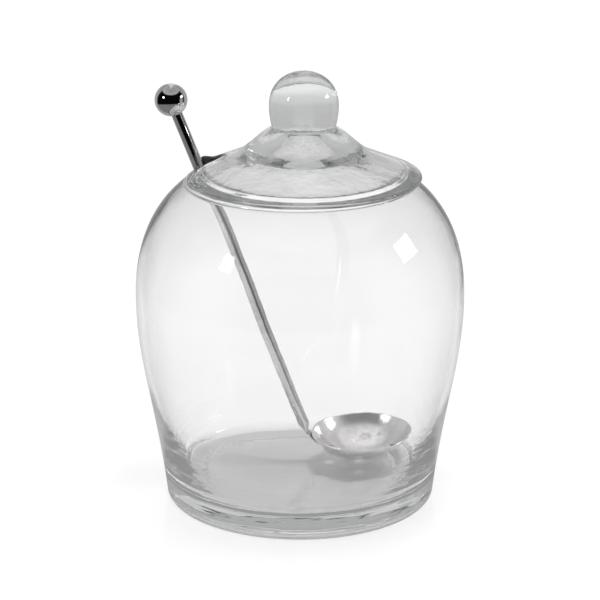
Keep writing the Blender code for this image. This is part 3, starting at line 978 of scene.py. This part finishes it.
# %% Light the world
dark_room_tones = ((0, 0.004), (42, 0.004), (50, 0.62), (75, 0.5))
far_wall_tones = ((0, 0.58), (42, 0.46), (50, 0.62), (75, 0.5))
through_back_tones = ((0, 0.62), (17, 0.62), (40, 0.52), (55, 0.8), (70, 1.0))
through_front_tones = ((0, 0.22), (40, 0.18), (55, 0.7), (70, 1.0))
to_the_back, straight_back = ((0.2, 0.0), (0.45, 1.0)), ((0.975, 0.0), (0.99, 1.0))
to_the_front = ((0.35, 0.0), (0.8, 1.0))


def tone_ramp(value, stops):
    """Grey tones along a value, with soft steps between the stops."""
    node = add_node(value.id_data, "ShaderNodeValToRGB", {0: value})
    node.color_ramp.interpolation = "EASE"
    points = node.color_ramp.elements
    points[0].position, points[1].position = stops[0][0], stops[-1][0]
    for place, _ in stops[1:-1]:
        points.new(place)
    for point, (_, tone) in zip(points, stops):
        point.color = (tone, tone, tone, 1.0)
    return node.outputs[0]


def sky_ramp(height, tones):
    """Tones by the angle above the horizon, in degrees."""
    return tone_ramp(height, [(math.sin(math.radians(angle)), tone) for angle, tone in tones])


def choose(factor, no, yes):
    """The first tone where the factor is 0, the second where it is 1."""
    greys = [(tone, tone, tone, 1.0) if isinstance(tone, float) else tone for tone in (no, yes)]
    return mix_colours(factor, *greys)


def heading(along, length):
    """How far a level direction points to the back: 1 straight back, -1 to the front."""
    return math_node("DIVIDE", along, math_node("MAXIMUM", length, 0.01))


def build_world():
    world = bpy.data.worlds.new("studio")
    world.use_nodes = True
    bpy.context.scene.world = world
    tree = world.node_tree
    path = add_node(tree, "ShaderNodeLightPath").outputs
    direction = add_node(tree, "ShaderNodeTexCoord").outputs["Generated"]
    split = add_node(tree, "ShaderNodeSeparateXYZ", {0: direction})
    height = split.outputs["Z"]
    squared = math_node("MULTIPLY", height, height)
    level = math_node("SQRT", math_node("SUBTRACT", 1.0, squared))
    behind = heading(split.outputs["Y"], level)
    before = math_node("MULTIPLY", behind, -1.0)

    dark_room = sky_ramp(height, dark_room_tones)
    far_wall = sky_ramp(height, far_wall_tones)
    mirrored = choose(tone_ramp(behind, to_the_back), dark_room, far_wall)
    mirrored = choose(tone_ramp(behind, straight_back), mirrored, 1.0)
    through_back = sky_ramp(height, through_back_tones)
    through_front = sky_ramp(height, through_front_tones)
    through = choose(tone_ramp(before, to_the_front), through_back, through_front)

    colour = choose(path["Is Diffuse Ray"], mirrored, 1.0)
    colour = choose(path["Is Transmission Ray"], colour, through)
    colour = choose(path["Is Camera Ray"], colour, 1.0)
    feed(colour, tree.nodes["Background"].inputs["Color"])


build_world()

# %% [markdown]
# ## Floor and lamps
#
# The floor is a pale glossy board. A part of its tone is plain white, so that it meets the
# backdrop without a line, and the rest takes light, so the ladle's soft shadow stays. Like the
# world, it has tones of its own for mirrors and for glass, by the distance from the jar, and
# these are painted: mirrors see a painted dark room in front, and glass sees painted shade
# under the jar and a painted dim room further out. Two soft boxes stand to the right and to
# the front left, and draw the bright patches on the shoulder, the knob and the ball. A third
# hangs overhead and only lights.

# %% Lay the floor
floor_reach = 6.0
dark_start, dark_end = 0.41, 0.5
lit_tones = ((0.0, 0.92), (0.15, 0.84), (0.5, 1.0))
# The board's colour as glass sees it: painted shade under the jar, and painted darkness further out for a
# dim room.
glass_view_painted_shade_tones = ((0.0, 0.72), (0.052, 0.74), (0.08, 0.95), (0.25, 0.97), (0.41, 0.78), (0.7, 0.66))
# The glow that glass sees is painted too: darker further out, and dark in front, for a dim room.
seen_back_tones = ((0.0, 0.95), (0.14, 0.9), (0.25, 0.97), (0.41, 0.78), (0.7, 0.66))
seen_front_tones = ((dark_start, 0.78), (dark_end, 0.2))
# What mirrors see of the board is a painted reflection: a dark room in front, a paler wall behind.
mirrored_front_tones, mirrored_back_tone = ((0.0, 0.34), (dark_start, 0.28), (dark_end, 0.004)), 0.58
seen_front_start = ((0.37, 0.0), (0.47, 1.0))
glow_through_glass = ((0.052, 0.06), (0.08, 0.75))


def make_floor():
    """A pale board. What metal and glass see of it is painted by the distance from the jar: a dim room, and
    shade under the jar.
    """
    mesh = bpy.data.meshes.new("floor")
    corners = [(x * floor_reach, y * floor_reach, 0) for x, y in ((-1, -1), (1, -1), (1, 1), (-1, 1))]
    mesh.from_pydata(corners, [], [(0, 1, 2, 3)])
    material, tree, shader = new_material("pale board")
    path = add_node(tree, "ShaderNodeLightPath").outputs
    place = add_node(tree, "ShaderNodeTexCoord").outputs["Object"]
    split = add_node(tree, "ShaderNodeSeparateXYZ", {0: place})
    away = vector_node("LENGTH", place)
    behind = heading(split.outputs["Y"], away)
    before = math_node("MULTIPLY", behind, -1.0)

    # Painted reflections and views: mirrors see a dark room in front, and glass sees the board darker
    # further out and in front.
    mirrored_front = tone_ramp(away, mirrored_front_tones)
    mirrored = choose(tone_ramp(behind, to_the_back), mirrored_front, mirrored_back_tone)
    seen_back = tone_ramp(away, seen_back_tones)
    seen_front = choose(tone_ramp(away, seen_front_start), seen_back,
                        tone_ramp(away, seen_front_tones))
    seen_through = choose(tone_ramp(before, to_the_front), seen_back, seen_front)

    # Glass sees the board's colour with painted shade under the jar and painted darkness further out. The
    # camera sees a plain 0.93.
    board = tone_ramp(away, glass_view_painted_shade_tones)
    feed(choose(path["Is Transmission Ray"], 0.93, board), shader.inputs["Base Color"])
    shader.inputs["Roughness"].default_value = 0.05
    shader.inputs["Specular IOR Level"].default_value = 0.5
    tone = choose(path["Is Glossy Ray"], tone_ramp(away, lit_tones), mirrored)
    tone = choose(path["Is Transmission Ray"], tone, seen_through)
    glow = add_node(tree, "ShaderNodeEmission", {"Color": tone})
    share = choose(path["Is Glossy Ray"], 0.0, 1.0)
    share = choose(path["Is Camera Ray"], share, 0.55)
    through_share = tone_ramp(away, glow_through_glass)
    share = choose(path["Is Transmission Ray"], share, through_share)
    mix_surfaces(tree, share, shader, glow)
    mesh.materials.append(material)
    floor = add_object("floor", mesh)
    floor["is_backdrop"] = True


make_floor()

# %% Set the soft boxes
lamp_aim = Vector((0, 0, 0.1))


def soft_box(name, azimuth, elevation, distance, size, power):
    """A lamp at a direction from the jar: azimuth 0 is the front, 90 the right."""
    lamp = bpy.data.lights.new(name, "AREA")
    lamp.shape = "RECTANGLE"
    lamp.size, lamp.size_y = size
    lamp.energy = power
    item = add_object(name, lamp)
    a, e = math.radians(azimuth), math.radians(elevation)
    way = Vector((math.sin(a) * math.cos(e), -math.cos(a) * math.cos(e), math.sin(e)))
    item.location = lamp_aim + way * distance
    item.rotation_mode = "QUATERNION"
    item.rotation_quaternion = way.to_track_quat("Z", "Y")
    return item


soft_box("right box", azimuth=90, elevation=21, distance=1.5, size=(0.42, 0.22), power=3.0)
soft_box("left box", azimuth=-57, elevation=24, distance=1.6, size=(0.24, 0.2), power=2.4)
overhead = soft_box("overhead box", azimuth=90, elevation=84, distance=1.2, size=(0.2, 0.2), power=7.5)
overhead.visible_glossy = False
overhead.visible_transmission = False
print("lamps:", len(bpy.data.lights))

# %% [markdown]
# ## Camera
#
# The camera looks down at about 18 degrees through a long lens, as in a catalogue picture. The
# direction and distance come from the ellipses of the mouth, the base and the ladle's bowl.
# Light crosses many faces of thick glass, so it gets more bounces than usual: too few would
# leave false dark bands.

# %% Set the camera
camera_data = bpy.data.cameras.new("camera")
camera_data.lens = 137.4
camera_data.sensor_width = 36.0
camera = add_object("camera", camera_data)
camera.location = (0.0, -0.8804, 0.3656)
camera.rotation_euler = (math.radians(90 - 17.86), 0, 0)
bpy.context.scene.camera = camera
bpy.context.scene.view_settings.view_transform = "Standard"
for limit in ("max_bounces", "glossy_bounces", "transmission_bounces"):
    setattr(bpy.context.scene.cycles, limit, 24)

# %% Check sizes and finish
dressed_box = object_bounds()
largest = max((a - b).length for a, b in zip(measured_box, dressed_box))
print("sizes differ by at most", round(largest * 1000, 2), "mm")
